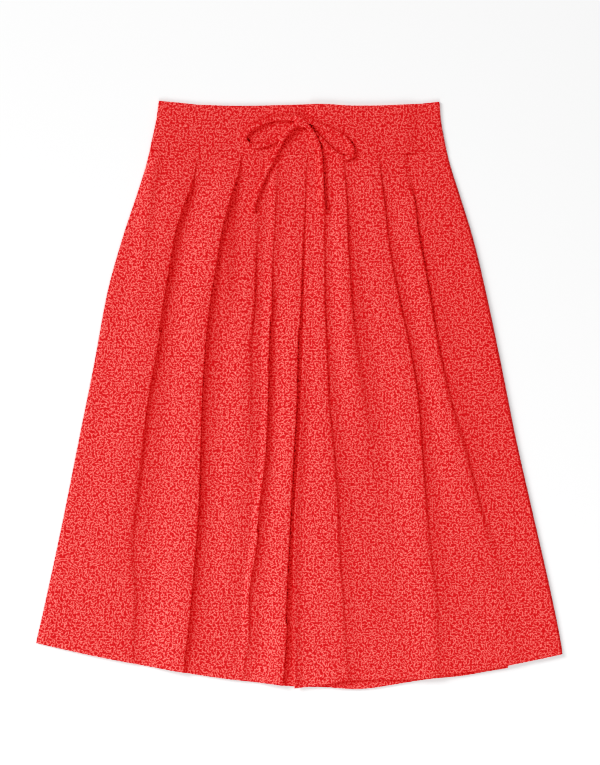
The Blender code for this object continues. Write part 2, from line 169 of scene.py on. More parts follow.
# The folds. At each distance down: where the fold's dark line runs, how high its crest and its foot stand
# over the flat cloth, how far it tucks back under its crest (or, below 0, how wide its open slope is), and
# how far to the right its foot takes to run out flat.
FOLDS = {
    "outer_left": (
        # down   line   crest foot tuck tail
        (67, -126.5, 0.3, 0.0, -4, 8),
        (80, -129.5, 1.0, 0.1, -3, 8),
        (100, -133.8, 2.4, 0.4, -2, 10),
        (125, -141.8, 5.4, 1.4, 0.9, 12),
        (162, -153.8, 6.0, 1.8, 1.4, 18),
        (207, -162.0, 6.1, 2.0, 0.9, 20),
        (251, -169.4, 6.3, 2.4, 0.9, 26),
        (314, -179.3, 6.8, 3.0, -0.8, 34),
        (377, -190.0, 6.5, 2.9, -3, 34),
        (440, -196.8, 6.0, 2.0, -9, 30),
        (503, -203.9, 5.3, 1.5, -13, 26),
        (566, -210.0, 4.1, 1.1, -17, 22),
        (629, -205.6, 3.4, 0.8, -13, 14),
        (679, -208.8, 2.3, 0.5, -12, 10),
        (740, -208.2, 1.2, 0.3, -12, 10),
    ),
    "left": (
        (67, -72.0, 0.6, 0.0, -3, 8),
        (80, -74.6, 2.0, 0.4, -2, 8),
        (100, -78.8, 3.9, 0.8, 2, 10),
        (125, -86.0, 6.2, 2.2, 1.4, 12),
        (162, -95.8, 7.8, 4.2, 1.4, 26),
        (207, -103.2, 8.5, 5.0, 1.4, 38),
        (251, -110.6, 8.3, 4.8, 1.4, 46),
        (314, -117.4, 7.8, 4.1, 1.4, 46),
        (377, -121.2, 7.3, 3.6, 2, 42),
        (440, -123.1, 7.0, 3.3, 2, 38),
        (503, -125.0, 6.9, 3.0, 2, 30),
        (566, -129.4, 6.9, 3.1, 1.4, 34),
        (629, -134.9, 7.4, 3.6, 1.4, 44),
        (679, -140.1, 7.5, 3.2, 0.9, 44),
        (711, -145.2, 5.3, 2.1, -0.2, 30),
        (745, -149.0, 3.6, 1.3, -2.5, 20),
    ),
    "inner_left_soft": (
        (67, -42.0, 0.0, 0.0, -8, 10),
        (100, -48.0, 0.2, 0.1, -7, 14),
        (125, -49.4, 0.8, 0.4, -6, 18),
        (162, -51.9, 1.9, 0.8, -6, 20),
        (207, -54.4, 3.3, 1.1, -5, 30),
        (251, -55.7, 4.9, 2.1, -6, 40),
        (314, -60.7, 6.1, 3.8, -9, 60),
        (377, -60.7, 6.4, 4.5, -11, 70),
        (440, -62.5, 5.4, 4.7, -12, 90),
        (503, -68.0, 4.4, 4.2, -10, 90),
        (566, -76.0, 3.9, 3.8, -10, 90),
        (629, -83.0, 3.0, 3.0, -10, 90),
        (679, -86.0, 1.8, 1.8, -10, 80),
        (745, -90.0, 0.8, 0.8, -10, 80),
    ),
    "inner_left": (
        (67, -25.5, 0.6, 0.0, -3, 8),
        (100, -28.0, 1.3, 0.4, -3, 8),
        (125, -29.2, 1.7, 0.6, -3, 8),
        (162, -30.8, 1.6, 0.7, -3, 8),
        (207, -33.5, 2.1, 0.8, -3, 8),
        (251, -34.6, 3.9, 1.0, -0.8, 12),
        (314, -37.0, 5.3, 1.3, 0.9, 14),
        (377, -38.3, 5.5, 1.6, 0.9, 16),
        (440, -40.8, 5.8, 2.3, 0.9, 20),
        (503, -48.0, 5.7, 2.6, 0.3, 24),
        (566, -54.9, 5.5, 2.6, -0.2, 30),
        (629, -62.9, 4.8, 2.0, -3, 32),
        (679, -62.0, 2.8, 1.3, -7, 24),
        (711, -68.3, 1.6, 0.6, -8, 12),
        (745, -70.0, 1.0, 0.3, -8, 10),
    ),
    "centre": (
        (67, 10.6, 0.5, 0.0, -3, 8),
        (100, 8.4, 1.1, 0.0, -3, 8),
        (125, 7.7, 1.2, 0.0, -3, 8),
        (162, 6.2, 1.7, 0.0, -3, 8),
        (207, 3.6, 2.9, 0.0, -2.5, 8),
        (251, 1.9, 3.7, 0.0, -0.8, 8),
        (314, -0.9, 4.6, 0.0, 0.3, 8),
        (377, -2.1, 4.9, 0.0, 0.3, 8),
        (440, -5.5, 5.2, 0.0, 0.3, 8),
        (566, -12.0, 5.4, 0.0, 0.3, 8),
        (629, -15.0, 5.7, 0.5, 0.3, 14),
        (679, -17.2, 5.8, 0.9, -0.2, 18),
        (711, -19.4, 5.4, 1.0, -0.2, 20),
        (745, -22.0, 4.6, 0.9, -0.8, 20),
    ),
    "inner_right": (
        (67, 32.5, 0.5, 0.0, -3, 8),
        (100, 32.5, 1.0, 0.0, -3, 8),
        (125, 32.5, 1.4, 0.2, -3, 8),
        (162, 32.1, 2.0, 0.6, -3, 8),
        (207, 32.1, 2.3, 0.8, -3, 10),
        (251, 32.3, 3.0, 1.0, -3, 10),
        (314, 35.0, 3.5, 1.2, -4, 12),
        (377, 37.6, 3.4, 1.2, -5, 12),
        (440, 43.8, 3.9, 1.4, -8, 14),
        (503, 48.7, 3.9, 1.4, -7, 14),
        (566, 51.2, 3.5, 1.4, -7, 14),
        (629, 55.6, 3.1, 1.2, -8, 14),
        (679, 58.3, 2.4, 0.9, -9, 14),
        (745, 65.0, 1.6, 0.5, -9, 12),
    ),
    "inner_right_short": (
        (67, 55.0, 0.6, 0.0, -3, 8),
        (100, 58.3, 1.8, 0.4, -3, 8),
        (125, 60.2, 2.2, 0.6, -2, 8),
        (162, 61.2, 3.7, 1.0, -4, 12),
        (207, 63.5, 4.0, 1.8, -4, 18),
        (251, 66.4, 4.5, 2.0, -5, 18),
        (314, 74.0, 4.2, 1.2, -15, 16),
        (377, 83.5, 2.8, 0.7, -16, 14),
        (440, 92.0, 1.4, 0.3, -18, 10),
        (503, 100.0, 0.2, 0.0, -18, 10),
        (566, 107.0, 0.0, 0.0, -18, 10),
        (745, 128.0, 0.0, 0.0, -18, 10),
    ),
    "right": (
        (67, 99.0, 0.6, 0.0, -3, 8),
        (80, 101.8, 1.4, 0.2, -3, 8),
        (100, 103.7, 2.2, 0.4, -3, 8),
        (125, 107.0, 2.9, 0.6, -3, 8),
        (162, 111.1, 2.9, 0.8, -4, 10),
        (207, 117.6, 3.4, 1.2, -5, 12),
        (251, 126.4, 4.0, 1.6, -4, 14),
        (314, 139.8, 4.4, 1.9, -4, 16),
        (377, 150.0, 4.8, 2.0, -4, 16),
        (440, 154.7, 4.8, 2.0, -4, 18),
        (503, 159.8, 4.2, 1.6, -7, 16),
        (566, 165.4, 3.4, 1.2, -9, 14),
        (629, 173.6, 2.9, 0.9, -11, 14),
        (679, 174.9, 2.1, 0.6, -11, 12),
        (745, 177.0, 1.4, 0.3, -10, 10),
    ),
    "outer_right": (
        (67, 134.0, 0.0, 0.0, -14, 10),
        (90, 137.0, 0.0, 0.0, -14, 10),
        (100, 139.0, 0.2, 0.0, -11, 10),
        (125, 145.5, 1.4, 0.0, -4, 10),
        (162, 149.6, 2.3, 0.5, -4, 12),
        (207, 157.8, 2.7, 1.0, -4, 14),
        (251, 165.6, 3.1, 1.4, -4, 20),
        (314, 176.8, 3.1, 1.6, -7, 24),
        (377, 190.8, 3.6, 1.6, -12, 22),
        (440, 209.6, 3.5, 1.2, -15, 18),
        (503, 226.1, 2.6, 0.8, -12, 14),
        (566, 245.0, 0.8, 0.3, -22, 16),
        (629, 262.0, 0.0, 0.0, -34, 16),
        (745, 282.0, 0.0, 0.0, -36, 16),
    ),
}
LEAST_TUCKED_DROP = 3.0  # a fold with less drop than this can't tuck
TUCK_GROWTH = 0.8  # the further drop over which its tuck grows to the whole
FOLD_CLEARANCE = 1.0  # past a fold's outermost point, before the next rise
SOFT_HANDLE = 0.45  # how round a fold turns, as shares of its drop, its tuck and its slope
TUCK_HANDLE = 0.9
SLOPE_HANDLE = 0.5
SHADE_GAP = 1.2  # from the outermost point of a tucked fold to the middle of its dark line
RUN_OUT_POWER = 1.5  # 1 runs a foot out straight, and more starts steeper
RISE_DELAY = 0.25  # the share of a foot's run-out that is past before the next crest starts to rise
LATEST_RISE = 0.3  # and at most this share of the way to that crest

# The free edges of the wrap, at these shares of the way from the waist seam to the hem
COLUMNS = (0, 0.08, 0.25, 0.5, 0.75, 1)
OVER_FREE_EDGE = (13.5, 11.5, 6.5, 1.5, -7.3, -6.0)
UNDER_FREE_EDGE = (129.4, 139.5, 157.2, 188.7, 235.0, 263.0)
UNDER_FOLDS = ("outer_left", "left", "inner_left_soft", "inner_left", "centre")
OVER_FOLDS = ("inner_right", "inner_right_short", "right", "outer_right")
FREE_EDGE_LIFT = 2.4  # how the over wrap's edge stands up, and how far it takes to come down
FREE_EDGE_TAIL = 11.0
FREE_EDGE_START = 0.3  # the share of the way to the hem where it starts to lift, and how long that takes
FREE_EDGE_GROWTH = 0.25
BAND_STEP_START = 3.0  # past the end of the under wrap's band, where the over wrap's starts to come down
BAND_STEP = 22.0

# Soft ridges placed in the cloth: points of (x, down, height), and widths to the left and right
RIDGES = {
    "under_wrap_panel": (
        (
            (
                (-179, 68, 0.6), (-182, 80, 1.8), (-190, 125, 2.3),
                (-195, 162, 2.0), (-198, 207, 1.2), (-206, 260, 0.0),
            ),
            9, 7,
        ),
        (
            ((-84, 120, 0.0), (-88, 162, 1.0), (-91, 207, 1.4), (-92, 251, 0.8), (-94, 290, 0.0)),
            6, 8,
        ),
    ),
    "over_wrap_panel": (
        (((43, 688, 0.0), (43, 715, 1.2), (43, 742, 2.8)), 16, 22),
        (
            (
                (180, 62, 0.3), (184, 80, 1.2), (192, 125, 2.2), (208, 175, 2.6), (225, 238, 2.8),
                (245, 333, 2.7), (263, 427, 2.4), (284, 522, 2.3), (306, 616, 2.1), (320, 745, 1.5),
            ),
            62, 40,
        ),
        (((165, 635, 0.0), (165, 690, 1.0), (165, 735, 2.5)), 95, 95),
    ),
}

# Creases of the hidden layers, each under a fold that shows: the fold, the share of its crest's height,
# how far to the left of its dark line, and widths to the left and right
HIDDEN_CREASES = {
    "back_panel": (
        ("outer_left", 0.30, 15, 11, 7),
        ("left", 0.28, 16, 12, 8),
        ("inner_left", 0.25, 8, 6, 4),
        ("centre", 0.32, 10, 7, 5),
        ("inner_right_short", 0.24, 12, 8, 6),
        ("right", 0.26, 14, 10, 7),
        ("outer_right", 0.30, 16, 12, 8),
    ),
    "under_wrap_panel": (
        ("inner_right", 0.40, 11, 9, 6),
        ("inner_right_short", 0.36, 12, 8, 6),
        ("right", 0.42, 14, 10, 7),
    ),
}

# The ties. Each is one strip: from behind the knot round its loop, through the knot and down its tail.
# A route gives x, y and how far over the cloth the strip lies.
TIE_WIDTH = 5.6
TIE_THICKNESS = 3.2
TIE_GROOVE = 0.10  # how far a strip's middle sinks, as a share of its thickness
TIE_ROUNDNESS = 0.7  # 1 gives an oval section, and less a squarer one
TIE_SPACING = 1.8
TIE_SIDES = 20
TIE_CLEARANCE = 0.1
TIE_START_SIZE = 0.6  # a strip's closed ends: their size as a share, and how far they stand out
TIE_START_OUT = 0.5
TIE_END_SIZE = 0.8
TIE_END_OUT = 0.4
GIRTH_SHARE = 0.8  # a strip's girth as a share of the girth of the box round its section
FEELERS = (-0.8, -0.4, 0, 0.4, 0.8)  # where the cloth under a tie is felt, as shares of half its width
HOLLOW_REACH = 2  # points to each side over which a tie bridges a hollow
OVER_ALL = 0.1  # a height in metres that nothing reaches
LEFT_TIE = (
    # x      y      over
    (3.0, 345.6, 1.6),
    (-2.0, 346.4, 2.0),
    (-8.4, 347.6, 1.6),
    (-18.0, 348.4, 0.8),
    (-30.6, 347.6, 0.7),
    (-40.0, 345.4, 0.9),
    (-49.5, 341.6, 1.2),
    (-58.5, 336.6, 1.3),
    (-65.5, 330.6, 1.1),
    (-68.6, 323.8, 0.6),
    (-66.3, 317.6, 0.6),
    (-60.6, 314.2, 0.2),
    (-52.5, 313.2, 0.0),
    (-43.2, 315.2, 0.0),
    (-30.6, 320.4, 0.0),
    (-18.5, 327.6, 0.0),
    (-9.0, 336.2, 0.0),
    (-3.6, 341.4, 0.6),
    (1.6, 345.0, 1.2),
    (6.0, 345.6, 1.8),
    (7.6, 342.8, 2.4),
    (4.6, 340.8, 2.8),
    (0.0, 340.8, 3.0),
    (-5.0, 339.6, 3.0),
    (-9.4, 336.8, 3.0),
    (-14.0, 331.4, 2.9),
    (-20.5, 322.6, 2.5),
    (-26.0, 311.8, 0.5),
    (-30.6, 302.4, 0.1),
    (-37.0, 289.8, 0.3),
    (-43.2, 277.2, 0.3),
    (-48.6, 264.6, 0.1),
    (-53.3, 252.0, 0.0),
    (-56.6, 240.4, 0.0),
    (-58.3, 230.6, 0.0),
)
RIGHT_TIE = (
    # x      y      over
    (4.0, 344.6, 1.8),
    (8.6, 344.4, 1.6),
    (13.6, 343.6, 1.0),
    (20.0, 341.6, 0.4),
    (29.0, 338.2, 0.2),
    (42.5, 332.4, 0.2),
    (53.0, 326.6, 0.4),
    (61.5, 319.2, 0.6),
    (66.6, 310.8, 0.6),
    (66.4, 303.2, 0.4),
    (60.6, 298.6, 0.1),
    (53.0, 299.6, 0.0),
    (45.6, 304.4, 0.0),
    (38.0, 311.2, 0.0),
    (24.4, 325.0, 0.0),
    (15.4, 334.4, 0.0),
    (10.4, 339.0, 0.6),
    (5.6, 342.6, 1.2),
    (1.4, 344.2, 1.8),
    (-0.4, 342.0, 2.4),
    (2.4, 340.2, 2.9),
    (6.6, 339.8, 3.2),
    (10.4, 337.8, 3.2),
    (14.0, 333.6, 3.0),
    (17.4, 328.9, 2.9),
    (21.4, 321.6, 2.4),
    (24.4, 314.0, 0.5),
    (26.2, 305.0, 0.0),
    (27.2, 296.0, 0.0),
    (27.8, 285.0, 0.0),
    (28.4, 270.9, 0.0),
    (28.8, 258.0, 0.0),
    (29.4, 245.7, 0.0),
    (30.4, 231.8, 0.0),
)

# The knot: a soft lump, and the turn of tie that is wrapped over it from the upper left to the lower right
KNOT_CENTRE = (2.1, 344.0)
KNOT_SIZE = (17.5, 11.4, 6.4)
KNOT_COLUMNS = 48
KNOT_ROWS = 24
KNOT_CREASES = 3.0
KNOT_CREASE_DEPTH = 0.10  # as a share of its size
KNOT_CREASE_LEAN = (0.8, 0.25)
KNOT_END_CREASE = 0.1  # how much of that also shapes its ends
KNOT_FLATNESS = 0.92
KNOT_CLOTH = 6  # millimetres of cloth for each radian round the lump
KNOT_WRAP = (
    # x      y      z
    (-7.0, 348.8, 4.4),
    (-5.2, 348.2, 7.4),
    (-1.2, 346.8, 9.4),
    (3.0, 344.4, 9.9),
    (7.2, 341.6, 9.2),
    (10.4, 338.8, 7.0),
    (11.8, 337.4, 4.6),
)
WRAP_WIDTH = 6.8
WRAP_THICKNESS = 2.2
WRAP_GROOVE = 0.45
WRAP_SPACING = 1.0

# Colours of the print, in linear light
GROUND_RED = (0.50, 0.041, 0.046)
GROUND_RANGE = (0.1, 1.9)  # the ground's darkest and brightest threads, as shares of its colour
DASH_SALMON = (0.94, 0.187, 0.175)
THREAD_RED = (0.66, 0.022, 0.022)
THREAD_TWIST_PAINTED_SHADE = 0.75  # painted shade: the darker side of the thread's twist, as a share of the thread's colour

# The print's dashes: how unevenly they lie, their sizes, and where their ink starts and stops fading
DASH_SCATTER = 0.85
DASH_LEAST_SIZE = 0.75
DASH_SIZE_RANGE = 0.5
DASH_EDGE = (0.4, 1.6)
SECOND_SHIFT = (0.0131, 0.0277, 0.0)  # in metres, of the second scatter from the first

# The weave and the thread's twist. Their scales are in waves a metre, and the depth in metres.
SLUB_SCALE = 680
SLUB_DETAIL = 2
SLUB_SHARE = 0.6
WEAVE_DEPTH = 0.00005
WEAVE_STRENGTH = 0.6
TWIST_SCALE = 700

# The studio: a soft key light from the viewer's upper left and a white room
KEY_PLACE = (-12.0, 6.6, 7.8)
KEY_SIZE = 6.9
KEY_POWER = 2300.0
FILL_PLACE = (-0.5, -1.9, 1.6)
FILL_AIM = (0, -0.2, 0)
FILL_SIZE = 1.6
FILL_POWER = 31.5
ROOM_LIGHT = 0.37
FLOOR_WHITE = 0.93
FLOOR_HALF = 6.0
FLOOR_BELOW = 0.2  # in millimetres

# The camera, straight above with a long lens. The photograph is 765 px high, at 1.26 mm a px.
VIEW_HEIGHT = 765 * 1.26
LENS = 120.0
SENSOR = 36.0
CAMERA_OVER = (1.0, 15.85)  # x and y, in millimetres
FOCUS_OVER_FLOOR = 3.0

# The camera's tone curve, the same for all colours: it deepens the darks and holds the brights
TONE_CURVE = ((0.05, 0.010), (0.10, 0.042), (0.20, 0.205), (0.36, 0.54), (0.75, 0.81))


# ---------------------------------------------------------------- curves


def curve_through(xs, ys):
    """A smooth curve through the points with no overshoot between them, for numbers or arrays."""
    xs = np.array(xs, float)
    ys = np.array(ys, float)
    step = np.diff(xs)
    slope = np.diff(ys) / step
    tangent = np.zeros(len(xs))
    for i in range(1, len(xs) - 1):
        if slope[i - 1] * slope[i] > 0:
            before = 2 * step[i] + step[i - 1]
            after = step[i] + 2 * step[i - 1]
            tangent[i] = (before + after) / (before / slope[i - 1] + after / slope[i])
    tangent[0] = slope[0]
    tangent[-1] = slope[-1]

    def value(x):
        x = np.clip(x, xs[0], xs[-1])
        i = np.clip(np.searchsorted(xs, x, side="right") - 1, 0, len(step) - 1)
        s = (x - xs[i]) / step[i]
        rest = 1 - s
        here = ys[i] * (1 + 2 * s) * rest**2 + tangent[i] * step[i] * s * rest**2
        there = ys[i + 1] * s**2 * (3 - 2 * s) - tangent[i + 1] * step[i] * s**2 * rest
        return here + there

    return value


left_side = curve_through([row[0] for row in SIDES], [row[1] for row in SIDES])
right_side = curve_through([row[0] for row in SIDES], [row[2] for row in SIDES])
top_edge = curve_through(*zip(*TOP_EDGE))
under_hem = curve_through(*zip(*UNDER_HEM))
over_hem = curve_through(*zip(*OVER_HEM))
fold_curves = {}
for fold_name, fold_rows in FOLDS.items():
    downs, *fold_columns = zip(*fold_rows)
    fold_curves[fold_name] = [curve_through(downs, column) for column in fold_columns]
over_free_edge = curve_through(COLUMNS, OVER_FREE_EDGE)
under_free_edge = curve_through(COLUMNS, UNDER_FREE_EDGE)


def smooth_step(s):
    s = np.clip(s, 0, 1)
    return s * s * (3 - 2 * s)


def seam(x):
    return top_edge(x) + BAND_DEPTH


def panel_down(x, share, hem):
    """How far down a point of a panel is, at a share of the way from the waist seam to the hem."""
    top = seam(x) + GAP / 2
    return top + share * (hem(x) - top)


def side_x(side, share, hem):
    """Where a row of a panel meets the side of the outline."""
    x = side(0)
    for _ in range(SIDE_ROUNDS):
        x = side(panel_down(x, share, hem))
    return float(x)


def back_hem(x):
    """The back's hem stays just above the fronts'."""
    front = np.where(x > UNDER_HEM[-1][0], over_hem(x), under_hem(x))
    return front - BACK_TUCK


def smooth_route(points, spacing):
    """Points at an even spacing along a smooth curve through the route's own points."""
    known = np.array(points, float)
    padded = np.vstack([2 * known[0] - known[1], known, 2 * known[-1] - known[-2]])
    fine = []
    for i in range(1, len(padded) - 2):
        a, b, c, d = padded[i - 1 : i + 3]
        bend = 2 * a - 5 * b + 4 * c - d
        twist = 3 * b - a - 3 * c + d
        for s in np.linspace(0, 1, ROUTE_STEPS, endpoint=False):
            fine.append(b + ((c - a) * s + bend * s**2 + twist * s**3) / 2)
    fine = np.array([*fine, known[-1]])
    runs = np.linalg.norm(np.diff(fine, axis=0), axis=1)
    length = np.concatenate([[0], np.cumsum(runs)])
    places = np.linspace(0, length[-1], round(length[-1] / spacing) + 1)
    return np.stack([np.interp(places, length, fine[:, axis]) for axis in range(3)], axis=1)


# ---------------------------------------------------------------- cloth grids


def fold_line_down(name, share, hem):
    """How far down a row of a panel crosses the fold's dark line."""
    line = fold_curves[name][0]
    down = panel_down(line(0), share, hem)
    for _ in range(LINE_ROUNDS):
        down = panel_down(line(down), share, hem)
    return float(down)


def fold_curve(name, down, left_level, right_level):
    """The folded stretch of a row of cloth as x and z: over the crest, back under it and out again.

    It also gives how high the crest and the foot stand, and how far the foot runs out.
    """
    line, crest, foot, tuck, tail = (float(curve(down)) for curve in fold_curves[name])
    top = left_level + crest
    bottom = right_level + foot
    drop = top - bottom
    room = min(max((drop - LEAST_TUCKED_DROP) / TUCK_GROWTH, 0), 1)
    under = max(tuck, 0) * room
    slope = max(-tuck, LEAST_TUCKED_DROP - drop, 0)
    foot_x = slope - under
    run_out = RUN_OUT_POWER * foot / tail
    handle = SOFT_HANDLE * drop + under * TUCK_HANDLE + slope * SLOPE_HANDLE
    t = np.linspace(0, 1, FOLD_STEPS)
    rest = 1 - t
    weights = (rest**3, 3 * rest**2 * t, 3 * rest * t**2, t**3)
    xs = sum(w * x for w, x in zip(weights, (0, handle, foot_x - handle, foot_x)))
    zs = sum(w * z for w, z in zip(weights, (top, top, bottom + handle * run_out / 2, bottom)))
    shade = slope / 2 if slope > 0 else xs.max() + SHADE_GAP
    return xs + line - shade, zs, crest, foot, tail


def run_out_height(lift, distance, tail):
    return lift * np.clip(1 - distance / tail, 0, 1) ** RUN_OUT_POWER


def folded_row(start, end, folds, levels, share, hem, start_lift=(0.0, 1.0)):
    """The middle of a panel's cloth across the skirt, as arrays of x and z."""
    xs = [np.array([start])]
    zs = [np.array([levels[0] + start_lift[0]])]
    last = start
    lift, tail = start_lift
    for i, name in enumerate(folds):
        down = fold_line_down(name, share, hem)
        fold_x, fold_z, crest, foot, next_tail = fold_curve(name, down, levels[i], levels[i + 1])
        s = np.linspace(0, 1, RISE_STEPS + 1)[1:-1]
        stretch = s * (fold_x[0] - last)
        xs.append(last + stretch)
        late = min(RISE_DELAY * tail / (fold_x[0] - last), LATEST_RISE)
        ease = 0.5 - 0.5 * np.cos(math.pi * np.clip((s - late) / (1 - late), 0, 1))
        zs.append(levels[i] + crest * ease + run_out_height(lift, stretch, tail) * (1 - ease))
        xs.append(fold_x)
        zs.append(fold_z)
        lift, tail = foot, next_tail
        outer = max(fold_x.max(), fold_x[-1]) + FOLD_CLEARANCE
        passed = outer - fold_x[-1]
        lift = float(run_out_height(lift, passed, tail))
        tail = max(tail - passed, 1.0)
        last = outer
        xs.append(np.array([last]))
        zs.append(np.array([levels[i + 1] + lift]))
    s = np.linspace(0, 1, FREE_COLUMNS + 1)[1:]
    stretch = (end - last) * s
    xs.append(last + stretch)
    zs.append(levels[-1] + run_out_height(lift, stretch, tail))
    return np.concatenate(xs), np.concatenate(zs)


def soft_bump(aside, left_width, right_width):
    width = np.where(aside < 0, left_width, right_width)
    return np.exp(-((aside / width) ** 2))


def ridge_height(name, x, down):
    """How much a panel's soft ridges and creases raise its cloth."""
    height = np.zeros_like(x)
    for points, left_width, right_width in RIDGES.get(name, ()):
        ridge_x, ridge_down, ridge_top = zip(*points)
        middle = curve_through(ridge_down, ridge_x)(down)
        top = curve_through(ridge_down, ridge_top)(down)
        inside = (down >= ridge_down[0]) & (down <= ridge_down[-1])
        height += np.where(inside, top, 0) * soft_bump(x - middle, left_width, right_width)
    for fold, share, left_of, left_width, right_width in HIDDEN_CREASES.get(name, ()):
        line, crest = fold_curves[fold][:2]
        middle = line(down) - left_of
        height += share * crest(down) * soft_bump(x - middle, left_width, right_width)
    return height


def side_drop(distance, drop, curve):
    """How far the front comes down to the back where they are sewn together."""
    return drop * (1 - smooth_step(distance / curve))


def under_rows():
    for share in np.linspace(0, 1, PANEL_ROWS):
        start = side_x(left_side, share, under_hem)
        levels = [UNDER_MIDDLE] * (len(UNDER_FOLDS) + 1)
        end = float(under_free_edge(share))
        yield share, folded_row(start, end, UNDER_FOLDS, levels, share, under_hem)


def over_rows():
    for share in np.linspace(0, 1, PANEL_ROWS):
        end = side_x(right_side, share, over_hem)
        levels = [OVER_MIDDLE] * len(OVER_FOLDS) + [UNDER_MIDDLE]
        start = float(over_free_edge(share))
        lifted = float(smooth_step((share - FREE_EDGE_START) / FREE_EDGE_GROWTH))
        lift = (FREE_EDGE_LIFT * lifted, FREE_EDGE_TAIL)
        yield share, folded_row(start, end, OVER_FOLDS, levels, share, over_hem, lift)


def back_rows():
    for share in np.linspace(0, 1, PANEL_ROWS):
        start = side_x(left_side, share, back_hem)
        end = side_x(right_side, share, back_hem)
        xs = np.linspace(start, end, BACK_COLUMNS)
        yield share, (xs, np.full(BACK_COLUMNS, BACK_MIDDLE))


def cloth_grid(rows, hem):
    """The rows as an array of (x, down, z)."""
    grid = []
    for share, (xs, zs) in rows:
        grid.append(np.stack([xs, panel_down(xs, share, hem), zs], axis=1))
    return np.array(grid)


def band_grid(start_at, end_at, height):
    grid = []
    for share in np.linspace(0, 1, BAND_ROWS):
        xs = np.linspace(start_at(share), end_at(share), BAND_COLUMNS)
        bottom = seam(xs) + SEAM_OVERLAP
        downs = top_edge(xs) + share * (bottom - top_edge(xs))
        grid.append(np.stack([xs, downs, height(xs)], axis=1))
    return np.array(grid)


def flat_cut(grid, reference):
    """Where each point lies on the flat cloth, in millimetres, measured from the reference column."""
    steps = np.linalg.norm(np.diff(grid[:, :, [0, 2]], axis=1), axis=2)
    across = np.concatenate([np.zeros((len(grid), 1)), np.cumsum(steps, axis=1)], axis=1)
    across += (grid[:, reference, 0] - across[:, reference])[:, None]
    return np.stack([across, grid[:, :, 1]], axis=2)


# ---------------------------------------------------------------- nodes


def feed(tree, socket, value):
    """Links a socket to another one, or sets it to a plain value."""
    if isinstance(value, bpy.types.NodeSocket):
        tree.links.new(value, socket)
    else:
        socket.default_value = value


def add_node(tree, kind, inputs):
    """A node with its inputs linked to other sockets or set to plain values."""
    node = tree.nodes.new(kind)
    for name, value in inputs.items():
        feed(tree, node.inputs[name], value)
    return node


# ---------------------------------------------------------------- meshes


def place(points):
    """(x, down, z) in millimetres as places in the frame, in metres."""
    points = np.asarray(points, float)
    return np.stack([points[..., 0], TOP_Y - points[..., 1], points[..., 2]], axis=-1) * MM


def grid_normals(places):
    across = np.gradient(places, axis=1)
    down = np.gradient(places, axis=0)
    normals = np.cross(down, across)
    return normals / np.linalg.norm(normals, axis=2)[:, :, None]


def boundary_loop(rows, columns):
    """The grid's edge points in order, clockwise seen from above."""
    return (
        [(0, k) for k in range(columns)]
        + [(i, columns - 1) for i in range(1, rows)]
        + [(rows - 1, k) for k in range(columns - 2, -1, -1)]
        + [(i, 0) for i in range(rows - 2, 0, -1)]
    )


def add_mesh(name, vertices, faces, material, uv=None):
    mesh = bpy.data.meshes.new(name)
    mesh.from_pydata(vertices, [], faces)
    mesh.materials.append(material)
    if uv is not None:
        corner = np.zeros(len(mesh.loops), int)
        mesh.loops.foreach_get("vertex_index", corner)
        layer = mesh.uv_layers.new(name="Cloth")
        layer.data.foreach_set("uv", np.asarray(uv, np.float32)[corner].ravel())
    mesh.shade_smooth()
    made = bpy.data.objects.new(name, mesh)
    bpy.context.scene.collection.objects.link(made)
    return made


def add_cloth(name, grid, cut, thickness, material):
    """A closed thin cloth with rounded edges round the grid of (x, down, z).

    cut is each point's place on the flat cloth.
    """
    places = place(grid)
    normals = grid_normals(places)
    half = thickness / 2 * MM
    rows, columns = grid.shape[:2]
    count = rows * columns
    loop = boundary_loop(rows, columns)
    index = np.array([i * columns + k for i, k in loop])
    edge = places.reshape(-1, 3)[index]
    edge_normal = normals.reshape(-1, 3)[index]
    along = np.roll(edge, -1, axis=0) - np.roll(edge, 1, axis=0)
    outward = np.cross(edge_normal, along)
    outward /= np.linalg.norm(outward, axis=1)[:, None]
    vertices = [(places + normals * half).reshape(-1, 3), (places - normals * half).reshape(-1, 3)]
    flat = cut.reshape(-1, 2) * MM
    uvs = [flat, flat]
    for k in range(1, RIM_STEPS + 1):
        angle = math.pi * k / (RIM_STEPS + 1)
        vertices.append(edge + half * (math.cos(angle) * edge_normal + math.sin(angle) * outward))
        uvs.append(flat[index] + half * math.sin(angle) * outward[:, :2] * (1, -1))
    vertices = np.concatenate(vertices)
    uvs = np.concatenate(uvs)

    i, k = np.meshgrid(np.arange(rows - 1), np.arange(columns - 1), indexing="ij")
    a = (i * columns + k).ravel()
    quads = np.stack([a, a + columns, a + columns + 1, a + 1], axis=1)
    faces = [quads, quads[:, ::-1] + count]
    rings = [index]
    for k in range(RIM_STEPS):
        rings.append(2 * count + k * len(loop) + np.arange(len(loop)))
    rings.append(index + count)
    for upper, lower in zip(rings, rings[1:]):
        faces.append(np.stack([upper, np.roll(upper, -1), np.roll(lower, -1), lower], axis=1))
    return add_mesh(name, vertices.tolist(), np.concatenate(faces).tolist(), material, uvs)


def ring_faces(count, sides):
    """The faces between rings of vertices that follow one another."""
    faces = []
    for i in range(count - 1):
        for k in range(sides):
            j = (k + 1) % sides
            a = i * sides
            faces.append((a + k, a + j, a + sides + j, a + sides + k))
    return faces


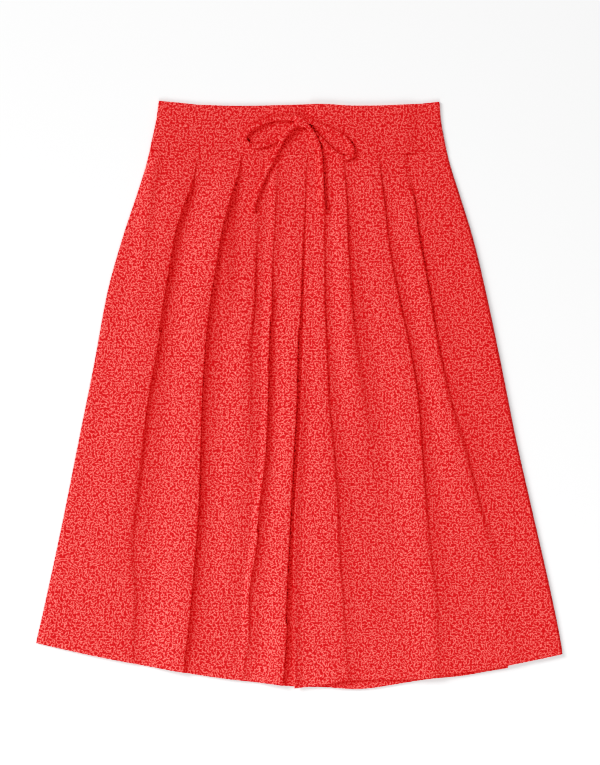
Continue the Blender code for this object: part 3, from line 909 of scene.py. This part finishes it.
def strip_mesh(line, width, thickness, groove):
    """A flat strip with rounded sides and closed ends: its vertices, faces and flat map."""
    along = np.gradient(line, axis=0)
    along /= np.linalg.norm(along, axis=1)[:, None]
    across = np.cross(along, (0, 0, 1))
    across /= np.linalg.norm(across, axis=1)[:, None]
    up = np.cross(across, along)
    angles = np.arange(TIE_SIDES) * 2 * math.pi / TIE_SIDES
    wide = np.sign(np.cos(angles)) * np.abs(np.cos(angles)) ** TIE_ROUNDNESS * width / 2
    high = np.sign(np.sin(angles)) * np.abs(np.sin(angles)) ** TIE_ROUNDNESS * thickness / 2
    high *= 1 - groove * (1 - np.abs(np.cos(angles))) ** 2
    rings = []
    for point, side, top in zip(line, across, up):
        rings.append(point + wide[:, None] * side + high[:, None] * top)
    rings.insert(0, line[0] + (rings[0] - line[0]) * TIE_START_SIZE - along[0] * TIE_START_OUT)
    rings.append(line[-1] + (rings[-1] - line[-1]) * TIE_END_SIZE + along[-1] * TIE_END_OUT)
    faces = ring_faces(len(rings), TIE_SIDES)
    faces.append(tuple(range(TIE_SIDES - 1, -1, -1)))
    last = (len(rings) - 1) * TIE_SIDES
    faces.append(tuple(last + k for k in range(TIE_SIDES)))
    girth = 2 * (width + thickness) * GIRTH_SHARE
    lengths = np.concatenate([[0], np.cumsum(np.linalg.norm(np.diff(line, axis=0), axis=1))])
    lengths = np.array([-TIE_START_OUT, *lengths, lengths[-1] + TIE_END_OUT])
    uv = [(k / TIE_SIDES * girth, v) for v in lengths for k in range(TIE_SIDES)]
    return np.concatenate(rings), faces, np.array(uv)


def cloth_surface(pieces):
    """The pieces' surfaces together, to find what lies under a point."""
    joined = bmesh.new()
    for piece in pieces:
        joined.from_mesh(piece.data)
    surface = BVHTree.FromBMesh(joined)
    joined.free()
    return surface


def heights_under(surface, line):
    """The highest cloth under each point of a tie's line, with short hollows bridged."""
    along = np.gradient(line[:, :2], axis=0)
    across = np.stack([along[:, 1], -along[:, 0]], axis=1)
    across *= TIE_WIDTH / 2 / np.linalg.norm(across, axis=1)[:, None]
    found = []
    for aside in FEELERS:
        row = []
        for x, y in (line[:, :2] + aside * across) * MM:
            row.append(surface.ray_cast(Vector((x, y, OVER_ALL)), Vector((0, 0, -1)))[0].z / MM)
        found.append(row)
    heights = np.max(found, axis=0)
    for blend in (np.max, np.mean):
        wide = np.pad(heights, HOLLOW_REACH, mode="edge")
        heights = np.array([blend(wide[k : k + 2 * HOLLOW_REACH + 1]) for k in range(len(heights))])
    return heights


def add_tie(name, route, surface, material):
    """A narrow flat tie laid on the cloth along its route. It returns the object and its middle line."""
    line = smooth_route(route, TIE_SPACING)
    line[:, 2] += heights_under(surface, line) + TIE_THICKNESS / 2 + TIE_CLEARANCE
    vertices, faces, uv = strip_mesh(line, TIE_WIDTH, TIE_THICKNESS, TIE_GROOVE)
    return add_mesh(name, (vertices * MM).tolist(), faces, material, uv * MM), line * MM


def line_length(line):
    return float(np.linalg.norm(np.diff(line, axis=0), axis=1).sum())


def add_knot(material):
    """The knot: a small lump, pinched in by the turn of tie that is wrapped over it."""
    rest = UNDER_BAND_MIDDLE + SOLID_BAND / 2 + GAP
    lean_x, lean_y = KNOT_CREASE_LEAN
    vertices = []
    uv = []
    for i in range(KNOT_ROWS + 1):
        v = math.pi * i / KNOT_ROWS
        for k in range(KNOT_COLUMNS):
            u = 2 * math.pi * k / KNOT_COLUMNS
            x = math.sin(v) * math.cos(u)
            y = math.cos(v)
            z = math.sin(v) * math.sin(u)
            crease = math.cos(KNOT_CREASES * math.pi * (x * lean_x + y * lean_y))
            turn = 1 - KNOT_CREASE_DEPTH * crease * math.sin(v)
            end_turn = 1 - KNOT_END_CREASE + KNOT_END_CREASE * turn
            vertices.append(
                (
                    KNOT_CENTRE[0] + x * KNOT_SIZE[0] / 2 * turn,
                    KNOT_CENTRE[1] + y * KNOT_SIZE[1] / 2 * end_turn,
                    rest + KNOT_SIZE[2] / 2 * (1 + z * turn * KNOT_FLATNESS),
                )
            )
            uv.append((u * KNOT_CLOTH, v * KNOT_CLOTH))
    faces = ring_faces(KNOT_ROWS + 1, KNOT_COLUMNS)
    wrap_line = smooth_route(KNOT_WRAP, WRAP_SPACING)
    wrap, wrap_faces, wrap_uv = strip_mesh(wrap_line, WRAP_WIDTH, WRAP_THICKNESS, WRAP_GROOVE)
    faces += [tuple(len(vertices) + k for k in face) for face in wrap_faces]
    vertices = np.concatenate([vertices, wrap])
    uv = np.concatenate([uv, wrap_uv])
    return add_mesh("knot_cloth", (vertices * MM).tolist(), faces, material, uv * MM)


def inset_row(grid, cut, edge, side):
    """The line of a row of stitches, in from one edge of the cloth, on its upper (1) or lower (-1) face."""
    places = place(grid)
    raised = places + grid_normals(places) * side * CLOTH / 2 * MM
    if edge == "hem":
        inset = (cut[-1:, :, 1] - cut[:, :, 1])[::-1].T
        raised = raised[::-1].transpose(1, 0, 2)
    elif edge == "left":
        inset = cut[:, :, 0] - cut[:, :1, 0]
    else:
        inset = (cut[:, -1:, 0] - cut[:, :, 0])[:, ::-1]
        raised = raised[:, ::-1]
    return [
        [float(np.interp(HEM_STITCH, insets, points[:, axis])) for axis in range(3)]
        for insets, points in zip(inset, raised)
    ]


def stitch_rows_tree():
    """Stitches at an even pitch along lines: each is a short, slender, rounded thread."""
    tree = bpy.data.node_groups.new("stitch_rows", "GeometryNodeTree")
    tree.interface.new_socket("Lines", in_out="INPUT", socket_type="NodeSocketGeometry")
    for size in ("Pitch", "Stitch Length", "Thread Width"):
        tree.interface.new_socket(size, in_out="INPUT", socket_type="NodeSocketFloat")
    tree.interface.new_socket("Thread", in_out="INPUT", socket_type="NodeSocketMaterial")
    tree.interface.new_socket("Stitches", in_out="OUTPUT", socket_type="NodeSocketGeometry")
    given = tree.nodes.new("NodeGroupInput").outputs
    lines = add_node(tree, "GeometryNodeMeshToCurve", {"Mesh": given["Lines"]})
    even = add_node(tree, "GeometryNodeResampleCurve", {"Curve": lines.outputs["Curve"]})
    even.mode = "LENGTH"
    feed(tree, even.inputs["Length"], given["Pitch"])
    stitch = add_node(tree, "GeometryNodeMeshUVSphere", {"Segments": 6, "Rings": 4, "Radius": 0.5})
    length, width = given["Stitch Length"], given["Thread Width"]
    size = add_node(tree, "ShaderNodeCombineXYZ", {"X": length, "Y": width, "Z": width})
    shape = {"Geometry": stitch.outputs["Mesh"], "Scale": size.outputs["Vector"]}
    shaped = add_node(tree, "GeometryNodeTransform", shape)
    tangent = tree.nodes.new("GeometryNodeInputTangent").outputs["Tangent"]
    turn = add_node(tree, "FunctionNodeAlignRotationToVector", {"Vector": tangent})
    turn.axis = "X"
    placing = {
        "Points": even.outputs["Curve"],
        "Instance": shaped.outputs["Geometry"],
        "Rotation": turn.outputs["Rotation"],
    }
    placed = add_node(tree, "GeometryNodeInstanceOnPoints", placing)
    plain = add_node(tree, "GeometryNodeRealizeInstances", {"Geometry": placed.outputs["Instances"]})
    dress = {"Geometry": plain.outputs["Geometry"], "Material": given["Thread"]}
    dressed = add_node(tree, "GeometryNodeSetMaterial", dress)
    add_node(tree, "NodeGroupOutput", {"Stitches": dressed.outputs["Geometry"]})
    return tree


def add_stitches(lines):
    """All rows of stitches in one piece."""
    vertices = []
    edges = []
    for line in lines:
        first = len(vertices)
        vertices += line
        edges += [(first + k, first + k + 1) for k in range(len(line) - 1)]
    mesh = bpy.data.meshes.new("hem_stitches")
    mesh.from_pydata(vertices, edges, [])
    stitches = bpy.data.objects.new("hem_stitches", mesh)
    bpy.context.scene.collection.objects.link(stitches)
    tree = stitch_rows_tree()
    modifier = stitches.modifiers.new("stitch_rows", "NODES")
    modifier.node_group = tree
    given = {
        "Pitch": STITCH_PITCH * MM,
        "Stitch Length": STITCH_LENGTH * MM,
        "Thread Width": STITCH_THREAD * MM,
        "Thread": sewing_thread(),
    }
    for item in tree.interface.items_tree:
        if item.name in given:
            modifier[item.identifier] = given[item.name]
    evaluated = stitches.evaluated_get(bpy.context.evaluated_depsgraph_get())
    sewn = bpy.data.meshes.new_from_object(evaluated)
    sewn.shade_smooth()
    stitches.modifiers.clear()
    stitches.data = sewn
    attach(stitches, "root")


# ---------------------------------------------------------------- materials


def new_group(name, inputs, outputs):
    """A shader node group with its named sockets, and what it is given."""
    group = bpy.data.node_groups.new(name, "ShaderNodeTree")
    for socket, kind, value in inputs:
        made = group.interface.new_socket(socket, in_out="INPUT", socket_type=kind)
        if value is not None:
            made.default_value = value
    for socket, kind in outputs:
        group.interface.new_socket(socket, in_out="OUTPUT", socket_type=kind)
    return group, group.nodes.new("NodeGroupInput").outputs


def operation_node(tree, kind, operation, values):
    node = tree.nodes.new(kind)
    node.operation = operation
    for socket, value in zip(node.inputs, values):
        feed(tree, socket, value)
    return node.outputs[0]


def math_node(tree, operation, *values):
    return operation_node(tree, "ShaderNodeMath", operation, values)


def vector_node(tree, operation, *values):
    return operation_node(tree, "ShaderNodeVectorMath", operation, values)


def colour_mix(tree, factor, first, second):
    node = tree.nodes.new("ShaderNodeMix")
    node.data_type = "RGBA"
    for name, value in (("Factor", factor), ("A", first), ("B", second)):
        feed(tree, node.inputs[name], value)
    return node.outputs["Result"]


def scaled_colour(colour, share=1.0):
    return (*[c * share for c in colour], 1)


def dash_layer(tree, given, spacing, shift):
    """One scatter of bent dashes: a mask that is 1 inside a dash."""
    moved = vector_node(tree, "ADD", given["Cloth"], shift)
    cells = vector_node(tree, "DIVIDE", moved, spacing)
    inputs = {"Vector": cells, "Scale": 1, "Randomness": DASH_SCATTER}
    scatter = add_node(tree, "ShaderNodeTexVoronoi", inputs)
    scatter.voronoi_dimensions = "2D"
    scatter.feature = "F1"
    offset = vector_node(tree, "SUBTRACT", cells, scatter.outputs["Position"])
    offset = vector_node(tree, "MULTIPLY", offset, spacing)
    chance = add_node(tree, "ShaderNodeSeparateColor", {"Color": scatter.outputs["Color"]})
    angle = math_node(tree, "MULTIPLY", chance.outputs["Red"], 2 * math.pi)
    turn = add_node(tree, "ShaderNodeVectorRotate", {"Vector": offset, "Angle": angle})
    turn.rotation_type = "Z_AXIS"
    parts = add_node(tree, "ShaderNodeSeparateXYZ", {"Vector": turn.outputs["Vector"]})
    size = math_node(tree, "MULTIPLY_ADD", chance.outputs["Green"], DASH_SIZE_RANGE, DASH_LEAST_SIZE)
    length = math_node(tree, "MULTIPLY", given["Half Length"], size)
    along = math_node(tree, "DIVIDE", parts.outputs["X"], length)
    square = math_node(tree, "MULTIPLY", along, along)
    side = math_node(tree, "SUBTRACT", chance.outputs["Blue"], 0.5)
    sag = math_node(tree, "MULTIPLY", square, math_node(tree, "MULTIPLY", side, given["Bend"]))
    aside = math_node(tree, "ADD", parts.outputs["Y"], sag)
    across = math_node(tree, "DIVIDE", aside, given["Half Width"])
    distance = math_node(tree, "ADD", square, math_node(tree, "MULTIPLY", across, across))
    start, end = DASH_EDGE
    inputs = {"Value": distance, "From Min": start, "From Max": end, "To Min": 1, "To Max": 0}
    edge = add_node(tree, "ShaderNodeMapRange", inputs)
    edge.interpolation_type = "SMOOTHSTEP"
    return edge.outputs["Result"]


def dash_print_group():
    """The small repeat print: short bent dashes in all directions. Sizes in metres on the flat cloth."""
    group, given = new_group(
        "dash_print",
        (
            ("Cloth", "NodeSocketVector", None),
            ("Spacing", "NodeSocketFloat", 0.0035),
            ("Half Length", "NodeSocketFloat", 0.0019),
            ("Half Width", "NodeSocketFloat", 0.00049),
            ("Bend", "NodeSocketFloat", 0.0020),
        ),
        (("Mask", "NodeSocketFloat"),),
    )
    cell = add_node(group, "ShaderNodeCombineXYZ", {axis: given["Spacing"] for axis in "XYZ"})
    layers = []
    for shift in ((0.0, 0.0, 0.0), SECOND_SHIFT):
        layers.append(dash_layer(group, given, cell.outputs["Vector"], shift))
    add_node(group, "NodeGroupOutput", {"Mask": math_node(group, "MAXIMUM", *layers)})
    return group


def plain_weave_group():
    """The height of a plain weave of threads that grow thicker and thinner. The pitch is in metres."""
    group, given = new_group(
        "plain_weave",
        (("Cloth", "NodeSocketVector", None), ("Pitch", "NodeSocketFloat", 0.00042)),
        (("Height", "NodeSocketFloat"), ("Slub", "NodeSocketFloat")),
    )
    parts = add_node(group, "ShaderNodeSeparateXYZ", {"Vector": given["Cloth"]})
    waves = []
    for axis in ("X", "Y"):
        turns = math_node(group, "DIVIDE", parts.outputs[axis], given["Pitch"])
        waves.append(math_node(group, "SINE", math_node(group, "MULTIPLY", turns, math.pi)))
    woven = math_node(group, "MULTIPLY", *waves)
    inputs = {"Vector": given["Cloth"], "Scale": SLUB_SCALE, "Detail": SLUB_DETAIL}
    slub = add_node(group, "ShaderNodeTexNoise", inputs).outputs["Fac"]
    height = math_node(group, "MULTIPLY_ADD", slub, SLUB_SHARE, woven)
    add_node(group, "NodeGroupOutput", {"Height": height, "Slub": slub})
    return group


def new_material(name):
    material = bpy.data.materials.new(name)
    material.use_nodes = True
    tree = material.node_tree
    return material, tree, tree.nodes["Principled BSDF"]


def place_group(tree, group, cloth):
    node = tree.nodes.new("ShaderNodeGroup")
    node.node_tree = group
    tree.links.new(cloth, node.inputs["Cloth"])
    return node


def printed_cotton(name, print_group, weave_group):
    """The printed cotton, on a piece's own flat-cut map."""
    material, tree, shader = new_material(name)
    cloth = tree.nodes.new("ShaderNodeUVMap")
    cloth.uv_map = "Cloth"
    dashes = place_group(tree, print_group, cloth.outputs["UV"])
    weave = place_group(tree, weave_group, cloth.outputs["UV"])

    darkest, brightest = (scaled_colour(GROUND_RED, share) for share in GROUND_RANGE)
    ground = colour_mix(tree, weave.outputs["Slub"], darkest, brightest)
    inked = colour_mix(tree, dashes.outputs["Mask"], ground, scaled_colour(DASH_SALMON))
    tree.links.new(inked, shader.inputs["Base Color"])

    inputs = {"Distance": WEAVE_DEPTH, "Strength": WEAVE_STRENGTH, "Height": weave.outputs["Height"]}
    bump = add_node(tree, "ShaderNodeBump", inputs)
    tree.links.new(bump.outputs["Normal"], shader.inputs["Normal"])
    shader.inputs["Roughness"].default_value = 0.92
    shader.inputs["Specular IOR Level"].default_value = 0.04
    return material


def sewing_thread():
    """Matching red thread, with painted shade in stripes along each stitch for its twist."""
    material, tree, shader = new_material("sewing_thread")
    where = tree.nodes.new("ShaderNodeTexCoord").outputs["Object"]
    twist = add_node(tree, "ShaderNodeTexWave", {"Scale": TWIST_SCALE, "Vector": where})
    # painted shade: darker stripes of the same red stand in for the shade in the twist
    painted_twist_shade = scaled_colour(THREAD_RED, THREAD_TWIST_PAINTED_SHADE)
    colour = colour_mix(tree, twist.outputs["Fac"], painted_twist_shade, scaled_colour(THREAD_RED))
    tree.links.new(colour, shader.inputs["Base Color"])
    shader.inputs["Roughness"].default_value = 0.6
    return material


def pale_floor():
    material, tree, shader = new_material("pale_floor")
    shader.inputs["Base Color"].default_value = scaled_colour((1, 1, 1), FLOOR_WHITE)
    shader.inputs["Roughness"].default_value = 0.9
    shader.inputs["Specular IOR Level"].default_value = 0.1
    return material


# ---------------------------------------------------------------- stage


def add_camera():
    data = bpy.data.cameras.new("camera_above")
    data.lens = LENS
    data.sensor_width = SENSOR
    camera = bpy.data.objects.new("camera_above", data)
    bpy.context.scene.collection.objects.link(camera)
    height = VIEW_HEIGHT / SENSOR * LENS + FOCUS_OVER_FLOOR
    camera.location = (CAMERA_OVER[0] * MM, CAMERA_OVER[1] * MM, height * MM)
    data.clip_start = 0.1
    data.clip_end = 50
    bpy.context.scene.camera = camera


def add_area_light(name, place_at, look_at, size, power):
    data = bpy.data.lights.new(name, "AREA")
    data.shape = "DISK"
    data.size = size
    data.energy = power
    light = bpy.data.objects.new(name, data)
    bpy.context.scene.collection.objects.link(light)
    light.location = place_at
    direction = Vector(look_at) - Vector(place_at)
    light.rotation_mode = "QUATERNION"
    light.rotation_quaternion = direction.to_track_quat("-Z", "Y")


def add_stage():
    view = bpy.context.scene.view_settings
    view.view_transform = "Standard"
    view.use_curve_mapping = True
    for point in TONE_CURVE:
        view.curve_mapping.curves[3].points.new(*point)
    view.curve_mapping.update()
    world = bpy.data.worlds.new("soft_white_room")
    world.use_nodes = True
    background = world.node_tree.nodes["Background"]
    background.inputs["Color"].default_value = (1, 1, 1, 1)
    background.inputs["Strength"].default_value = ROOM_LIGHT
    bpy.context.scene.world = world
    add_area_light("key_upper_left", KEY_PLACE, (0, 0, 0), KEY_SIZE, KEY_POWER)
    add_area_light("fill_lower_left", FILL_PLACE, FILL_AIM, FILL_SIZE, FILL_POWER)
    around = ((-1, -1), (1, -1), (1, 1), (-1, 1))
    corners = [(x * FLOOR_HALF, y * FLOOR_HALF, -FLOOR_BELOW * MM) for x, y in around]
    floor = add_mesh("floor", corners, [(0, 1, 2, 3)], pale_floor())


# ---------------------------------------------------------------- the skirt


def finish_piece(piece, node):
    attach(piece, "root")
    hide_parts(node)
    return piece


def add_ties(print_group, weave_group, surface):
    material = printed_cotton("tie_cotton", print_group, weave_group)
    knot = finish_piece(add_knot(material), "bow_knot")
    for side, route in (("left", LEFT_TIE), ("right", RIGHT_TIE)):
        tie, line = add_tie(f"{side}_tie", route, surface, material)
        finish_piece(tie, f"{side}_tie_loop")
        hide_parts(f"{side}_tie_tail")
        line_length(line)


def add_sheet(name, grid, reference, thickness, material):
    """The cloth in place of one solid, made on its flat cut. It returns the object and its cut."""
    cut = flat_cut(grid, reference)
    piece = finish_piece(add_cloth(f"{name}_cloth", grid, cut, thickness, material), name)
    return piece, cut


def add_panels(material):
    """The back and the two fronts. It returns them and the lines of their stitches."""
    pieces = []
    stitch_lines = []
    under_reference = -FREE_COLUMNS - 2  # the last column of the centre fold
    for name, rows, hem, reference, sewn_side, stitched, side in (
        ("back_panel", back_rows, back_hem, BACK_COLUMNS // 2, None, ("hem",), -1),
        ("under_wrap_panel", under_rows, under_hem, under_reference, "left", ("right", "hem"), 1),
        ("over_wrap_panel", over_rows, over_hem, 0, "right", ("left", "hem"), 1),
    ):
        grid = cloth_grid(rows(), hem)
        grid[:, :, 2] += ridge_height(name, grid[:, :, 0], grid[:, :, 1])
        if sewn_side is not None:
            sewn_edge, curve = (0, LEFT_SIDE_CURVE) if sewn_side == "left" else (-1, RIGHT_SIDE_CURVE)
            distance = np.abs(grid[:, :, 0] - grid[:, sewn_edge, 0][:, None])
            drop = grid[:, sewn_edge, 2][:, None] - BACK_MIDDLE - CLOTH - SEWN_GAP
            grid[:, :, 2] -= side_drop(distance, drop, curve)
        piece, cut = add_sheet(name, grid, reference, CLOTH, material)
        pieces.append(piece)
        stitch_lines += [inset_row(grid, cut, edge, side) for edge in stitched]
    return pieces, stitch_lines


def band_left(share):
    return float(left_side(share * BAND_DEPTH))


def band_right(share):
    return float(right_side(share * BAND_DEPTH))


def add_bands(material):
    drop = UNDER_BAND_MIDDLE - BACK_BAND_MIDDLE - BAND_CLOTH - SEWN_GAP

    def back_height(x):
        return np.full_like(x, BACK_BAND_MIDDLE)

    def under_height(x):
        return UNDER_BAND_MIDDLE - side_drop(x - x[0], drop, LEFT_SIDE_CURVE)

    def over_height(x):
        """The over wrap's band comes down off the end of the under wrap's."""
        fall = smooth_step((x - UNDER_FREE_EDGE[0] - BAND_STEP_START) / BAND_STEP)
        level = OVER_BAND_MIDDLE + fall * (UNDER_BAND_MIDDLE - OVER_BAND_MIDDLE)
        return level - side_drop(x[-1] - x, drop, RIGHT_SIDE_CURVE)

    pieces = []
    for name, start_at, end_at, height in (
        ("back_waistband", band_left, band_right, back_height),
        ("under_wrap_waistband", band_left, lambda share: UNDER_FREE_EDGE[0], under_height),
        ("over_wrap_waistband", lambda share: OVER_FREE_EDGE[0], band_right, over_height),
    ):
        grid = band_grid(start_at, end_at, height)
        piece, _ = add_sheet(name, grid, BAND_COLUMNS // 2, BAND_CLOTH, material)
        pieces.append(piece)
    return pieces


add_camera()
add_stage()
print_group = dash_print_group()
weave_group = plain_weave_group()
cotton = printed_cotton("printed_cotton", print_group, weave_group)
panels, stitch_lines = add_panels(cotton)
bands = add_bands(cotton)
add_stitches(stitch_lines)
add_ties(print_group, weave_group, cloth_surface(panels + bands))
